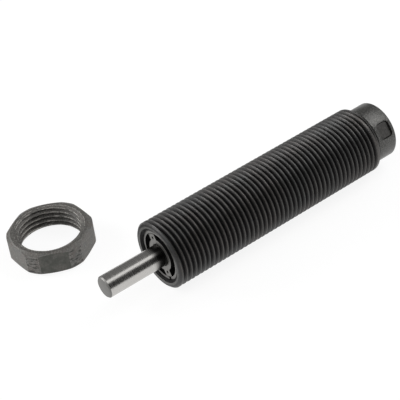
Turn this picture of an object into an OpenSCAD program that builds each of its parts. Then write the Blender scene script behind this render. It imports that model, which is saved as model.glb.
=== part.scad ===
// Industrial shock absorber with a threaded body and a loose lock nut.
// The cylinder lies along +X with its rod pointing to -X. The origin is on the
// cylinder's axis, at the front end of the full thread. Lengths are millimetres.

/* [Body] */
// Overall length of the outer tube
tube_len = 101; // [95:0.5:130]
// Major radius of the body's thread
thread_r = 12.5; // [12.2:0.1:14]
// Length of the full thread
thread_len = 90.4; // [86:0.2:91.4]
// Distance from one ridge of the thread to the next
thread_pitch = 1.93; // [1.5:0.01:2.5]
// Depth of the thread
thread_depth = 1.2; // [0.9:0.05:1.3]
// Width of the land on each ridge
thread_land = 0.25; // [0.1:0.05:0.4]
// Station of the first groove's middle
thread_start = 1.1; // [0.9:0.1:2]
// Plain length left behind the last groove
thread_runout = 0.5; // [0.3:0.1:2]
// Chamfer at the front rim, which leads on to the thread
front_chamfer = 0.7; // [0.3:0.1:1.2]
// Chamfer at the rear end of the thread
thread_end_chamfer = 1; // [0.5:0.1:1.4]
// Width of the relief groove behind the thread
relief_w = 0.6; // [0.4:0.1:1]
// Depth of the relief groove below the neck
relief_depth = 0.35; // [0.1:0.05:0.6]
// Radius of the smooth neck at the rear
neck_r = 10.6; // [10:0.05:11]
// Chamfer at the rear rim
rear_chamfer = 0.5; // [0.2:0.1:1]
// Radius of the bore that holds the inner parts
bore_r = 9.4; // [9.2:0.05:9.8]
// Radius of the cone at the mouth of the bore
mouth_r = 10.3; // [10:0.1:11]
// Depth of the cone at the mouth of the bore
mouth_depth = 0.55; // [0.3:0.05:0.7]
// Thickness of the solid rear wall
rear_wall = 10.3; // [8:0.1:11]

/* [Spanner flats] */
// Distance across the two milled flats on the neck
flats_af = 19.54; // [18.8:0.02:20]
// Length of each flat along the neck
flat_len = 5.7; // [4:0.1:6]
// Distance from the rear rim to each flat
flat_setback = 0.9; // [0.6:0.1:1.2]
// Width of each flat across the neck
flat_w = 6.2; // [4:0.1:8]
// Corner radius of each flat
flat_corner_r = 0.8; // [0.4:0.1:1.5]
// Turn of the first flat from the -Y side towards the top, in degrees
flat_turn = 34; // [0:1:90]

/* [Front closure] */
// Depth of the retaining ring's face below the front rim
ring_depth = 0.8; // [0.75:0.05:1.5]
// Thickness of the retaining ring
ring_t = 1; // [0.8:0.1:1.5]
// Inner radius of the retaining ring
ring_inner_r = 8.3; // [8:0.05:8.6]
// Depth of the ring's groove in the bore wall
ring_groove = 0.6; // [0.4:0.05:0.8]
// Opening between the ring's two ends
ring_gap = 1.1; // [0.8:0.1:2]
// Radius of the cap's hub
hub_r = 5.9; // [5.7:0.05:6.4]
// Length of the cap
cap_len = 5.2; // [4.8:0.1:8]
// Depth of the two curved windows in the cap
window_depth = 3.4; // [2:0.1:3.8]
// Width of the two lugs that join the hub to the rim
lug_w = 3.6; // [2.5:0.1:4.5]
// Turn of the lugs from the +Y side towards the top, in degrees
lug_turn = 62; // [0:1:90]
// Radius of the pin hole in each lug
pin_hole_r = 0.55; // [0.4:0.05:0.8]
// Distance of the pin holes from the axis
pin_hole_at = 6.5; // [6.2:0.1:7]
// Depth of the pin holes
pin_hole_depth = 1.6; // [1:0.1:2.5]

/* [Rod guide] */
// Length of the guide's head, which fills the bore
guide_head_len = 9; // [8.5:0.5:14]
// Length of the guide's narrow barrel
guide_barrel_len = 11; // [8:0.5:14]
// Radius of the guide's narrow barrel
guide_barrel_r = 7.2; // [6.9:0.05:7.5]
// Length of the spigot that enters the pressure tube
spigot_len = 2.5; // [1.5:0.5:4]
// Radius of the rod seal's pocket
seal_r = 6.5; // [6:0.1:7]
// Length of the rod seal
seal_len = 3.6; // [3:0.1:4]
// Thickness of the ring that backs the rod seal
backup_t = 1; // [0.6:0.1:1.5]
// Thickness of the lip between the seal's pocket and the bush
guide_lip = 0.8; // [0.6:0.1:1.5]
// Wall of the guide bush
bush_wall = 1.2; // [0.8:0.1:1.3]
// Outer radius of the rod wiper
wiper_r = 5.2; // [5:0.05:5.4]
// Length of the rod wiper
wiper_len = 2.6; // [2:0.1:3]
// Thickness of the front lip that holds the wiper in
cap_lip = 0.8; // [0.5:0.1:1]
// Radius of the section of both O-rings
cord_r = 0.8; // [0.6:0.05:0.9]
// Thickness of the soft washer that the piston returns to
rebound_t = 1.2; // [0.8:0.1:2]

/* [Pressure tube] */
// Inner radius of the pressure tube
tube_inner_r = 6.5; // [6.4:0.05:6.8]
// Wall of the pressure tube
tube_wall = 1.2; // [0.8:0.05:1.4]
// Number of metering holes
orifice_count = 6; // [4:1:8]
// Radius of each metering hole
orifice_r = 0.45; // [0.3:0.05:0.6]
// Radius of the two return holes near the guide
return_hole_r = 0.9; // [0.6:0.1:1]
// Thickness of the rear plug's flange
plug_flange = 2; // [1.5:0.1:3]
// Length of the rear plug inside the pressure tube
plug_len = 5; // [4:0.5:7]
// Radius of the oil passage through the plug and the rear wall
oil_hole_r = 1; // [0.6:0.1:1.4]
// Thickness of the spring's rear seat
spring_seat_t = 1; // [0.8:0.1:2]
// Length of the foam sleeve that takes up the oil
foam_len = 19; // [14:0.5:21]

/* [Piston rod] */
// Radius of the piston rod
rod_r = 4; // [3.8:0.05:4.2]
// Reach of the rod beyond the front rim
rod_reach = 22.5; // [21:0.5:30]
// Chamfer at the rod's tip
rod_chamfer = 0.5; // [0.2:0.1:1]
// Working stroke
stroke = 20; // [10:0.5:20.5]
// Radius of the rod's stud, which carries the piston
stud_r = 2.5; // [2.2:0.1:2.8]
// Length of the piston
piston_len = 8; // [6:0.5:10]
// Width of the piston ring
piston_ring_w = 2; // [1.5:0.1:3]
// Radial depth of the piston ring
piston_ring_depth = 1.1; // [0.8:0.05:1.3]
// Thickness of the check ring
check_t = 1; // [0.8:0.1:1.5]
// Lift of the check ring
check_lift = 0.6; // [0.3:0.1:1]
// Thickness of the spring's front seat
retainer_t = 1.2; // [0.8:0.1:2]
// Size across flats of the piston nut
piston_nut_af = 8; // [7:0.5:8]
// Height of the piston nut
piston_nut_h = 4; // [3:0.1:5]

/* [Return spring] */
// Radius of the spring wire
wire_r = 0.6; // [0.4:0.05:0.65]
// Radius of the coils at the middle of the wire
coil_r = 5.3; // [5.2:0.05:5.4]
// Number of working coils
coil_turns = 9; // [6:1:12]

/* [Lock nut] */
// Size across flats of the lock nut
nut_af = 28.9; // [27.5:0.1:32]
// Height of the lock nut
nut_h = 9.2; // [7:0.1:12]
// Radius that the nut's six corners are turned down to
nut_corner_r = 15.47; // [15:0.05:16]
// Minor radius of the nut's thread
nut_minor_r = 11.42; // [11.2:0.02:11.6]
// Radius of the countersinks at both ends of the nut's thread
nut_mouth_r = 12.8; // [12.6:0.05:13.2]
// Distance of the nut's centre in front of the front rim
nut_ahead = 16.5; // [10:0.5:25]
// Distance of the nut's centre to the side of the body's axis
nut_aside = 43.7; // [32:0.1:60]
// Turn of the nut about its own axis, in degrees
nut_turn = 2; // [0:1:60]

/* [Fill plug] */
// Radius of the fill plug
fill_r = 2.5; // [2:0.1:3]
// Length of the fill plug
fill_len = 4; // [3:0.5:5]
// Depth of the fill plug's outer end below the rear rim
fill_sink = 0.6; // [0.2:0.1:1.2]
// Size across flats of the plug's socket
fill_socket_af = 2.5; // [2:0.5:2.5]
// Radius of the sealing ball
ball_r = 1.9; // [1.8:0.05:1.95]

/* [Clearances] */
// Radial gap of pieces that stay in place
seat_gap = 0.05; // [0.02:0.01:0.08]
// Radial gap of pieces that slide
slide_gap = 0.05; // [0.02:0.01:0.08]

/* [Hidden] */

// Where a round surface starts and ends along the cylinder.
front_x = -front_chamfer;
rear_x = front_x + tube_len;
cavity_end = rear_x - rear_wall;
shoulder_x = thread_len + thread_end_chamfer;
neck_x = shoulder_x + relief_w;

// The thread's section: flanks at 30 degrees, with a whole number of grooves.
flank_w = thread_depth * tan(30);
groove_half = (thread_pitch - thread_land) / 2;
root_half = groove_half - flank_w;
thread_root_r = thread_r - thread_depth;
last_groove = thread_len - thread_runout - groove_half;
thread_grooves = 1 + floor((last_groove - thread_start) / thread_pitch);

// The closure, from the ring's face backwards.
ring_x = front_x + ring_depth;
flange_x = ring_x + ring_t;
cap_end = ring_x + cap_len;
wiper_x = ring_x + cap_lip;
ring_play = 0.1;
groove_r = bore_r + ring_groove;
lug_end_r = ring_inner_r - ring_play;

// The guide, from the cap backwards.
seal_end = cap_end + seal_len;
pocket_end = seal_end + backup_t;
bush_x = pocket_end + guide_lip;
head_end = cap_end + guide_head_len;
barrel_end = head_end + guide_barrel_len;
guide_end = barrel_end + spigot_len;
fit_r = bore_r - seat_gap;
rod_hole_r = rod_r + slide_gap;
cap_hole_r = rod_hole_r + 0.15;
lip_hole_r = rod_hole_r + 0.35;
bush_r = rod_hole_r + bush_wall;
cord_gap = 0.03;
cord_floor_gap = 0.02;
cord_side_room = 0.5;
cord_ring_r = bore_r - cord_gap - cord_r;
groove_w = 2 * cord_r + cord_side_room;
guide_groove_x = (pocket_end + head_end - groove_w) / 2;
foam_gap = 0.1;

// The pressure tube and what closes it.
tube_outer_r = tube_inner_r + tube_wall;
tube_fit_r = tube_inner_r - seat_gap;
plug_x = cavity_end - plug_flange - plug_len;
plug_flange_x = cavity_end - plug_flange;
plug_cord_ring_r = tube_inner_r - cord_gap - cord_r;
plug_groove_x = plug_x + (plug_len - groove_w) / 2;
spring_end = plug_x - spring_seat_t;
collar_h = 2;
collar_wall = 1;
coil_gap = 0.15;
collar_r = coil_r - wire_r - coil_gap;

// The piston at rest, from the soft washer backwards.
piston_gap = 0.05;
rebound_end = guide_end + rebound_t;
rebound_r = tube_fit_r - 0.2;
piston_x = rebound_end + piston_gap;
piston_end = piston_x + piston_len;
piston_side_gap = 0.08;
piston_ring_gap = 0.04;
piston_r = tube_inner_r - piston_side_gap;
piston_ring_r = tube_inner_r - piston_ring_gap;
piston_ring_x = piston_x + (piston_len - piston_ring_w) / 2;
ring_side_gap = 0.05;
retainer_x = piston_end + check_t + check_lift;
spring_start = retainer_x + retainer_t;
piston_nut_end = spring_start + piston_nut_h;
stud_proud = 0.8;
stud_end = piston_nut_end + stud_proud;
stud_hole_r = stud_r + seat_gap;
spacer_r = stud_hole_r + 0.7;
check_r = tube_inner_r - 0.7;
retainer_r = tube_fit_r - 0.1;
passage_r = 0.5;
passage_at = 4.5;
passage_count = 6;

// The metering holes crowd towards the end of the stroke.
orifice_setback = 2.5;
orifice_overrun = 1;
orifice_x0 = piston_end + check_t + orifice_setback;
orifice_span = stroke + orifice_overrun;
return_hole_edge = 0.3;
function orifice_x(i) = orifice_x0 + orifice_span * (1 - pow(1 - i / (orifice_count - 1), 2));

// The fill hole: a tapped length, a cone that seats the ball, and the oil passage.
fill_hole_r = fill_r + seat_gap;
plug_inner_x = rear_x - fill_sink - fill_len;
ball_x = plug_inner_x - ball_r;
cone_lead = 0.38;
cone_start = ball_x - cone_lead;
cone_end = cone_start - (fill_hole_r - oil_hole_r);

// How far a cutter runs past the surface that it opens.
over = 1;
hex_turn = 30;
round_fn = 96;
ring_fn = 64;

// Revolves an outline of [radius, x] points about the cylinder's axis.
module turned(outline) {
    rotate([0, 90, 0]) rotate_extrude($fn = round_fn) polygon(outline);
}

// A plain ring between two stations.
module ring_between(outer, inner, x0, x1) {
    turned([[inner, x0], [outer, x0], [outer, x1], [inner, x1]]);
}

// Extrudes a sketch from station x0 along the axis; sketch X is +Y, sketch Y is +Z.
module across(x0, length) {
    translate([x0, 0, 0]) rotate([90, 0, 90]) linear_extrude(length) children();
}

// A rod from the axis outwards, at an angle from +Y towards +Z.
module spoke_pin(radius, x, angle, reach) {
    translate([x, 0, 0]) rotate([angle, 0, 0]) rotate([-90, 0, 0])
        cylinder(r = radius, h = reach, $fn = 24);
}

// An O-ring about the axis.
module o_ring(ring_r, x) {
    rotate([0, 90, 0]) translate([0, 0, x])
        rotate_extrude($fn = ring_fn) translate([ring_r, 0]) circle(r = cord_r, $fn = 24);
}

// A rectangle with round corners, centred.
module rounded_rect(w, h, r) {
    square([w - 2 * r, h], center = true);
    square([w, h - 2 * r], center = true);
    for (sx = [-1, 1], sy = [-1, 1])
        translate([sx * (w / 2 - r), sy * (h / 2 - r)]) circle(r = r, $fn = 24);
}

// The thread's grooves as [radius, x] points. They are rings, so that they stay exact
// surfaces, and lie a pitch apart as the turns of the real thread do.
function thread_outline() = [
    for (i = [0:thread_grooves - 1])
        let (x = thread_start + i * thread_pitch)
            each [[thread_r, x - groove_half], [thread_root_r, x - root_half],
                  [thread_root_r, x + root_half], [thread_r, x + groove_half]]
];

// The cutter for one spanner flat, on the -Y side.
module flat_cutter() {
    translate([rear_x - flat_setback - flat_len / 2, -flats_af / 2, 0]) rotate([90, 0, 0])
        linear_extrude(neck_r) rounded_rect(flat_len, flat_w, flat_corner_r);
}

module outer_tube() {
    color("#2b2c2b")
    difference() {
        turned([
            [mouth_r, front_x], [thread_r - front_chamfer, front_x], [thread_r, 0],
            each thread_outline(),
            [thread_r, thread_len], [thread_r - thread_end_chamfer, shoulder_x],
            [neck_r - relief_depth, shoulder_x], [neck_r - relief_depth, neck_x],
            [neck_r, neck_x], [neck_r, rear_x - rear_chamfer], [neck_r - rear_chamfer, rear_x],
            [fill_hole_r, rear_x], [fill_hole_r, cone_start], [oil_hole_r, cone_end],
            [oil_hole_r, cavity_end], [bore_r, cavity_end], [bore_r, flange_x + ring_side_gap],
            [groove_r, flange_x + ring_side_gap], [groove_r, ring_x - ring_side_gap],
            [bore_r, ring_x - ring_side_gap], [bore_r, front_x + mouth_depth]
        ]);
        for (side = [0, 180]) rotate([-flat_turn + side, 0, 0]) flat_cutter();
    }
}

// An open ring of flat steel with round ends, sprung into the groove.
module retaining_ring() {
    mid_r = (groove_r - ring_play + ring_inner_r) / 2;
    end_r = (groove_r - ring_play - ring_inner_r) / 2;
    half_gap = asin((ring_gap / 2 + end_r) / mid_r);
    color("#8d8f8c")
    across(ring_x, ring_t)
        rotate(lug_turn + 180) {
            difference() {
                circle(r = groove_r - ring_play, $fn = round_fn);
                circle(r = ring_inner_r, $fn = round_fn);
                polygon([[0, 0], [2 * groove_r, 2 * groove_r * tan(half_gap)],
                         [2 * groove_r, -2 * groove_r * tan(half_gap)]]);
            }
            for (s = [-1, 1]) rotate(s * half_gap) translate([mid_r, 0]) circle(r = end_r, $fn = 32);
        }
}

// The end cap: a hub round the rod, two lugs with pin holes, and two curved windows.
module gland_cap() {
    color("#7d7f7d")
    difference() {
        turned([
            [cap_hole_r, ring_x], [lug_end_r, ring_x], [lug_end_r, flange_x],
            [fit_r, flange_x], [fit_r, cap_end], [wiper_r + seat_gap, cap_end],
            [wiper_r + seat_gap, wiper_x], [cap_hole_r, wiper_x]
        ]);
        across(ring_x - over, window_depth + over)
            difference() {
                circle(r = lug_end_r + seat_gap, $fn = round_fn);
                circle(r = hub_r, $fn = round_fn);
                rotate(lug_turn) square([4 * hub_r, lug_w], center = true);
            }
        for (side = [0, 180])
            across(ring_x - over, pin_hole_depth + over)
                rotate(lug_turn + side) translate([pin_hole_at, 0])
                    circle(r = pin_hole_r, $fn = 24);
    }
}

// A scraper with a forward lip.
module rod_wiper() {
    lip = 0.5;
    color("#3a3f45")
    turned([
        [rod_hole_r, wiper_x], [rod_hole_r + lip, wiper_x], [wiper_r - lip, wiper_x + lip],
        [wiper_r, wiper_x + lip], [wiper_r, wiper_x + wiper_len], [rod_hole_r, wiper_x + wiper_len]
    ]);
}

module rod_guide() {
    cord_floor = cord_ring_r - cord_r - cord_floor_gap;
    color("#9a9c9e")
    turned([
        [seal_r + seat_gap, cap_end], [fit_r, cap_end], [fit_r, guide_groove_x],
        [cord_floor, guide_groove_x], [cord_floor, guide_groove_x + groove_w],
        [fit_r, guide_groove_x + groove_w], [fit_r, head_end], [guide_barrel_r, head_end],
        [guide_barrel_r, barrel_end], [tube_fit_r, barrel_end], [tube_fit_r, guide_end],
        [bush_r + seat_gap, guide_end], [bush_r + seat_gap, bush_x],
        [lip_hole_r, bush_x], [lip_hole_r, pocket_end],
        [seal_r + seat_gap, pocket_end]
    ]);
}

// A lip seal whose groove opens towards the oil.
module rod_seal() {
    groove = 0.5;
    mid = (rod_hole_r + seal_r) / 2;
    color("#24506b")
    turned([
        [rod_hole_r, cap_end], [seal_r, cap_end], [seal_r, seal_end],
        [mid + groove, seal_end], [mid, seal_end - seal_len * 0.55], [mid - groove, seal_end],
        [rod_hole_r, seal_end]
    ]);
}

module backup_ring() {
    color("#e9e4d2") ring_between(seal_r, rod_hole_r, seal_end, pocket_end);
}

module guide_bush() {
    color("#b08a4a") ring_between(bush_r, rod_hole_r, bush_x, guide_end);
}

module guide_o_ring() {
    color("#1c1c1c") o_ring(cord_ring_r, guide_groove_x + groove_w / 2);
}

module rebound_washer() {
    color("#c8793a") ring_between(rebound_r, rod_hole_r + slide_gap, guide_end, rebound_end);
}

// Closed-cell foam that lies on the guide's barrel and on the front of the pressure tube.
module foam_sleeve() {
    step_x = barrel_end - foam_gap;
    color("#4b4b4f")
    turned([
        [guide_barrel_r + foam_gap, head_end], [fit_r, head_end], [fit_r, head_end + foam_len],
        [tube_outer_r + foam_gap, head_end + foam_len], [tube_outer_r + foam_gap, step_x],
        [guide_barrel_r + foam_gap, step_x]
    ]);
}

module pressure_tube() {
    color("#a7a9ab")
    difference() {
        ring_between(tube_outer_r, tube_inner_r, barrel_end, plug_flange_x);
        for (i = [0 : orifice_count - 1])
            spoke_pin(orifice_r, orifice_x(i), 90 + 180 * (i % 2), tube_outer_r + over);
        for (side = [0, 180])
            spoke_pin(return_hole_r, rebound_end + return_hole_r + return_hole_edge, side,
                      tube_outer_r + over);
    }
}

// Closes the pressure tube at the rear and centres it in the bore.
module rear_plug() {
    cord_floor = plug_cord_ring_r - cord_r - cord_floor_gap;
    color("#8f9192")
    turned([
        [oil_hole_r, plug_x], [tube_fit_r, plug_x], [tube_fit_r, plug_groove_x],
        [cord_floor, plug_groove_x], [cord_floor, plug_groove_x + groove_w],
        [tube_fit_r, plug_groove_x + groove_w], [tube_fit_r, plug_flange_x],
        [fit_r, plug_flange_x], [fit_r, cavity_end], [oil_hole_r, cavity_end]
    ]);
}

module plug_o_ring() {
    color("#1c1c1c") o_ring(plug_cord_ring_r, plug_groove_x + groove_w / 2);
}

module spring_seat() {
    color("#9a9c9e")
    turned([
        [collar_r - collar_wall, spring_end - collar_h], [collar_r, spring_end - collar_h],
        [collar_r, spring_end], [tube_fit_r, spring_end], [tube_fit_r, plug_x],
        [collar_r - collar_wall, plug_x]
    ]);
}

// The spring's centre line: a closed coil at each end and even coils between.
end_pitch = 2.1 * wire_r;
spring_turns = coil_turns + 2;
spring_run = spring_end - spring_start - 2 * wire_r;
coil_steps = 18;
wire_sides = 6;
function spring_x(t) =
    t < 1 ? t * end_pitch
    : t > spring_turns - 1 ? spring_run - (spring_turns - t) * end_pitch
    : end_pitch + (t - 1) * (spring_run - 2 * end_pitch) / coil_turns;
function wire_point(t, k) =
    let (a = 360 * t, b = 360 * k / wire_sides, r = coil_r + wire_r * cos(b))
    [spring_start + wire_r + spring_x(t) + wire_r * sin(b), r * cos(a), r * sin(a)];

module return_spring() {
    rings = spring_turns * coil_steps;
    points = [for (i = [0 : rings], k = [0 : wire_sides - 1]) wire_point(i / coil_steps, k)];
    walls = [for (i = [0 : rings - 1], k = [0 : wire_sides - 1])
        let (a = i * wire_sides + k, b = i * wire_sides + (k + 1) % wire_sides)
        [a, b, b + wire_sides, a + wire_sides]];
    start_cap = [[for (k = [wire_sides - 1 : -1 : 0]) k]];
    end_cap = [[for (k = [0 : wire_sides - 1]) rings * wire_sides + k]];
    color("#b9bbbd") polyhedron(points = points, faces = concat(walls, start_cap, end_cap));
}

// A set screw with a hexagon socket.
module fill_plug() {
    socket_depth = fill_len / 2;
    edge = 0.4;
    outer_end = rear_x - fill_sink;
    color("#3c3c3c")
    difference() {
        turned([[0, plug_inner_x], [fill_r - edge, plug_inner_x], [fill_r, plug_inner_x + edge],
                [fill_r, outer_end - edge], [fill_r - edge, outer_end], [0, outer_end]]);
        across(outer_end - socket_depth, socket_depth + over)
            circle(d = fill_socket_af / cos(hex_turn), $fn = 6);
    }
}

module sealing_ball() {
    color("#d5d7d9") translate([ball_x, 0, 0]) sphere(r = ball_r, $fn = 48);
}

// Ground rod with a shoulder and a stud for the piston.
module piston_rod() {
    tip_x = front_x - rod_reach;
    stud_edge = 0.3;
    color("#c9cacb")
    turned([
        [0, tip_x], [rod_r - rod_chamfer, tip_x], [rod_r, tip_x + rod_chamfer], [rod_r, piston_x],
        [stud_r, piston_x], [stud_r, stud_end - stud_edge], [stud_r - stud_edge, stud_end],
        [0, stud_end]
    ]);
}

// Piston with a ring groove and a circle of oil passages.
module piston() {
    floor_r = piston_ring_r - piston_ring_depth - seat_gap;
    groove_x = piston_ring_x - ring_side_gap;
    groove_end = piston_ring_x + piston_ring_w + ring_side_gap;
    color("#8a8c8e")
    difference() {
        turned([
            [stud_hole_r, piston_x], [piston_r, piston_x], [piston_r, groove_x],
            [floor_r, groove_x], [floor_r, groove_end], [piston_r, groove_end],
            [piston_r, piston_end], [stud_hole_r, piston_end]
        ]);
        across(piston_x - over, piston_len + 2 * over)
            for (i = [0 : passage_count - 1])
                rotate(360 * i / passage_count) translate([passage_at, 0])
                    circle(r = passage_r, $fn = 24);
    }
}

// Split ring in the piston's groove.
module piston_ring() {
    split = 0.3;
    color("#5b4a2e")
    across(piston_ring_x, piston_ring_w)
        difference() {
            circle(r = piston_ring_r, $fn = round_fn);
            circle(r = piston_ring_r - piston_ring_depth, $fn = round_fn);
            translate([0, -split / 2]) square([2 * piston_ring_r, split]);
        }
}

// Sets the room that the check ring lifts in.
module check_spacer() {
    color("#8a8c8e") ring_between(spacer_r, stud_hole_r, piston_end, retainer_x);
}

// Covers the piston's oil passages on the way in and lifts off them on the way out.
module check_ring() {
    color("#b9bbbd")
        ring_between(check_r, spacer_r + slide_gap, piston_end, piston_end + check_t);
}

// Front seat of the spring, with scallops that let the oil past.
module spring_retainer() {
    scallop_r = 1.1;
    color("#9a9c9e")
    difference() {
        ring_between(retainer_r, stud_hole_r, retainer_x, spring_start);
        across(retainer_x - over, retainer_t + 2 * over)
            for (i = [0 : 3])
                rotate(90 * i) translate([tube_fit_r, 0]) circle(r = scallop_r, $fn = 24);
    }
}

// A hexagon whose corners are turned down and chamfered at 30 degrees on both faces.
module hex_blank(af, corner_r, height) {
    face_r = af / 2;
    drop = (corner_r - face_r) * tan(30);
    intersection() {
        cylinder(d = af / cos(hex_turn), h = height, $fn = 6);
        rotate_extrude($fn = round_fn)
            polygon([[0, 0], [face_r, 0], [corner_r, drop], [corner_r, height - drop],
                     [face_r, height], [0, height]]);
    }
}

module piston_nut() {
    corner_r = min(piston_nut_af / 2 / cos(hex_turn), coil_r - wire_r - coil_gap);
    color("#707274")
    translate([spring_start, 0, 0]) rotate([0, 90, 0])
        difference() {
            hex_blank(piston_nut_af, corner_r, piston_nut_h);
            translate([0, 0, -over])
                cylinder(r = stud_hole_r, h = piston_nut_h + 2 * over, $fn = round_fn);
        }
}

// Lies flat on the ground that the body lies on.
module lock_nut() {
    mouth_depth = (nut_mouth_r - nut_minor_r) * tan(30);
    color("#4a4744")
    translate([front_x - nut_ahead, nut_aside, -thread_r])
        rotate(nut_turn + hex_turn)
            difference() {
                hex_blank(nut_af, nut_corner_r, nut_h);
                rotate_extrude($fn = round_fn)
                    polygon([[0, -over], [nut_mouth_r, -over], [nut_mouth_r, 0],
                             [nut_minor_r, mouth_depth], [nut_minor_r, nut_h - mouth_depth],
                             [nut_mouth_r, nut_h], [nut_mouth_r, nut_h + over], [0, nut_h + over]]);
            }
}

outer_tube();
retaining_ring();
gland_cap();
rod_wiper();
rod_guide();
rod_seal();
backup_ring();
guide_bush();
guide_o_ring();
rebound_washer();
foam_sleeve();
pressure_tube();
rear_plug();
plug_o_ring();
spring_seat();
return_spring();
fill_plug();
sealing_ball();
piston_rod();
piston();
piston_ring();
check_spacer();
check_ring();
spring_retainer();
piston_nut();
lock_nut();
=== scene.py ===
"""Industrial shock absorber with its loose lock nut: the dressed visual model.

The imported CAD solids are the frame. Pieces that need threads, rounded edges or milled
recesses are modelled here over their solids, and the others keep their solids and get a
finish. The cylinder lies along +X with its rod pointing to -X, and the origin is on its axis.
Sizes are written in millimetres and become metres where an operator takes them.
"""

from __future__ import annotations

import logging
import math
import sys
from dataclasses import dataclass, field
from enum import Enum
from functools import partial
from typing import Callable, Dict, List, Mapping, Optional, Sequence, Tuple, Union

import bpy
from mathutils import Matrix, Vector

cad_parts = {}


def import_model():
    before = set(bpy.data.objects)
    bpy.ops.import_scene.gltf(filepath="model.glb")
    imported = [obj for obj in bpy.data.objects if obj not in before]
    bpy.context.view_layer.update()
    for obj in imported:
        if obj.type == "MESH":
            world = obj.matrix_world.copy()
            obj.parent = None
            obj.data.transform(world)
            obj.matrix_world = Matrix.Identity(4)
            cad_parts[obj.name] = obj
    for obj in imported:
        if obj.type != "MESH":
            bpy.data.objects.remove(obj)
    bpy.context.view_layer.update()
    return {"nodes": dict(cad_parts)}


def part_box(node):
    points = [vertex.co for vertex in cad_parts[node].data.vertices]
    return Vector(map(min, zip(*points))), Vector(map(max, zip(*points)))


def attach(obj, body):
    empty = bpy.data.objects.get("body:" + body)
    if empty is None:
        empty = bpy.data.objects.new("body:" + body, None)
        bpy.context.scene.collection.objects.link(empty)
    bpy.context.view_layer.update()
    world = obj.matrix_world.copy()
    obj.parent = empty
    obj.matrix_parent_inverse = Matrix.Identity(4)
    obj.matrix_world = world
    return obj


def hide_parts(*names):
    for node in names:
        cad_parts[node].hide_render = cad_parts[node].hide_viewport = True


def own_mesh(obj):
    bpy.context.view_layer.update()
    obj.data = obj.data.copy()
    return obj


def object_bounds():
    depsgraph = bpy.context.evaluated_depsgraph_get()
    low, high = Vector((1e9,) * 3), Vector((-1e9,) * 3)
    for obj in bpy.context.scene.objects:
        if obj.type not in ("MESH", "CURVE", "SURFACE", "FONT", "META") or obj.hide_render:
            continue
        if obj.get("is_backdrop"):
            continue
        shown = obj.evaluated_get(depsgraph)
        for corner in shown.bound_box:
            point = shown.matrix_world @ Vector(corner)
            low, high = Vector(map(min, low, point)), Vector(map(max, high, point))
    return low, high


LOG = logging.getLogger("shock_absorber")
MM = 0.001
TAN_30 = math.tan(math.radians(30))
COS_30 = math.cos(math.radians(30))

Piece = bpy.types.Object
Pair = Tuple[float, float]
Triple = Tuple[float, float, float]
Socket = bpy.types.NodeSocket
Value = Union[Socket, float, Tuple[float, ...]]
AddNode = Callable[..., Socket]

# Settings that many nodes share.
COLOURS = {"data_type": "RGBA", "output": 2}
RANGE_ENDS = ("From Min", "From Max", "To Min", "To Max")
SOFT = "SMOOTHSTEP"
DOT = "DOT_PRODUCT"


class Axis(Enum):
    """The line that a round piece is turned about."""

    CYLINDER = "X"
    NUT = "Z"

    def place(self, radius: float, along: float) -> Vector:
        """Places a section's point in the half plane that sections are drawn in.

        Args:
            radius: Its distance from the axis.
            along: Its station along the axis.

        Returns:
            The point, in metres.
        """
        if self is Axis.CYLINDER:
            return Vector((along, radius, 0.0)) * MM
        return Vector((radius, 0.0, along)) * MM

    def along(self, distance: float) -> Vector:
        """Returns a move along the axis."""
        return (Vector((1, 0, 0)) if self is Axis.CYLINDER else Vector((0, 0, 1))) * distance * MM

    def spread(self, ratio: float) -> Triple:
        """Returns the scale that changes a ring's radius by the ratio."""
        return (1.0, ratio, ratio) if self is Axis.CYLINDER else (ratio, ratio, 1.0)

    def lay(self) -> Triple:
        """Returns the turn that sets a flat primitive square to the axis."""
        return (0.0, math.pi / 2, 0.0) if self is Axis.CYLINDER else (0.0, 0.0, 0.0)


class Joining(Enum):
    """How one closed piece works on another."""

    CUT = "DIFFERENCE"
    KEEP_COMMON = "INTERSECT"


class Section(Enum):
    """Whether a turned section reaches the axis."""

    SOLID = "solid"
    RING = "ring"


# --- Modelling -------------------------------------------------------------------------------


def select_only(piece: Optional[Piece] = None) -> None:
    """Leaves edit mode, deselects everything, and selects one piece.

    Args:
        piece: The piece to select and make active, or None for none.
    """
    active = bpy.context.view_layer.objects.active
    if active is not None and active.mode != "OBJECT":
        bpy.ops.object.mode_set(mode="OBJECT")
    bpy.ops.object.select_all(action="DESELECT")
    if piece is not None:
        piece.select_set(True)
        bpy.context.view_layer.objects.active = piece


def settle(piece: Piece) -> Piece:
    """Moves a piece's place into its mesh, so that its object sits at the origin.

    Args:
        piece: The piece to settle.

    Returns:
        The same piece.
    """
    select_only(piece)
    bpy.ops.object.transform_apply(location=True, rotation=True, scale=True)
    return piece


def apply_modifier(piece: Piece, kind: str, **settings: object) -> None:
    """Adds one modifier and applies it.

    Args:
        piece: The piece that gets the modifier.
        kind: Blender's name of the modifier's type.
        settings: The modifier's own settings.
    """
    select_only(piece)
    modifier = piece.modifiers.new(kind.title(), kind)
    for name, value in settings.items():
        setattr(modifier, name, value)
    bpy.ops.object.modifier_apply(modifier=modifier.name)


def start_edit() -> None:
    """Enters edit mode on the active piece, with everything selected."""
    bpy.ops.object.mode_set(mode="EDIT")
    bpy.ops.mesh.select_all(action="SELECT")


def end_edit() -> None:
    """Turns every face outwards and leaves edit mode."""
    bpy.ops.mesh.select_all(action="SELECT")
    bpy.ops.mesh.normals_make_consistent(inside=False)
    bpy.ops.object.mode_set(mode="OBJECT")


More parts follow.
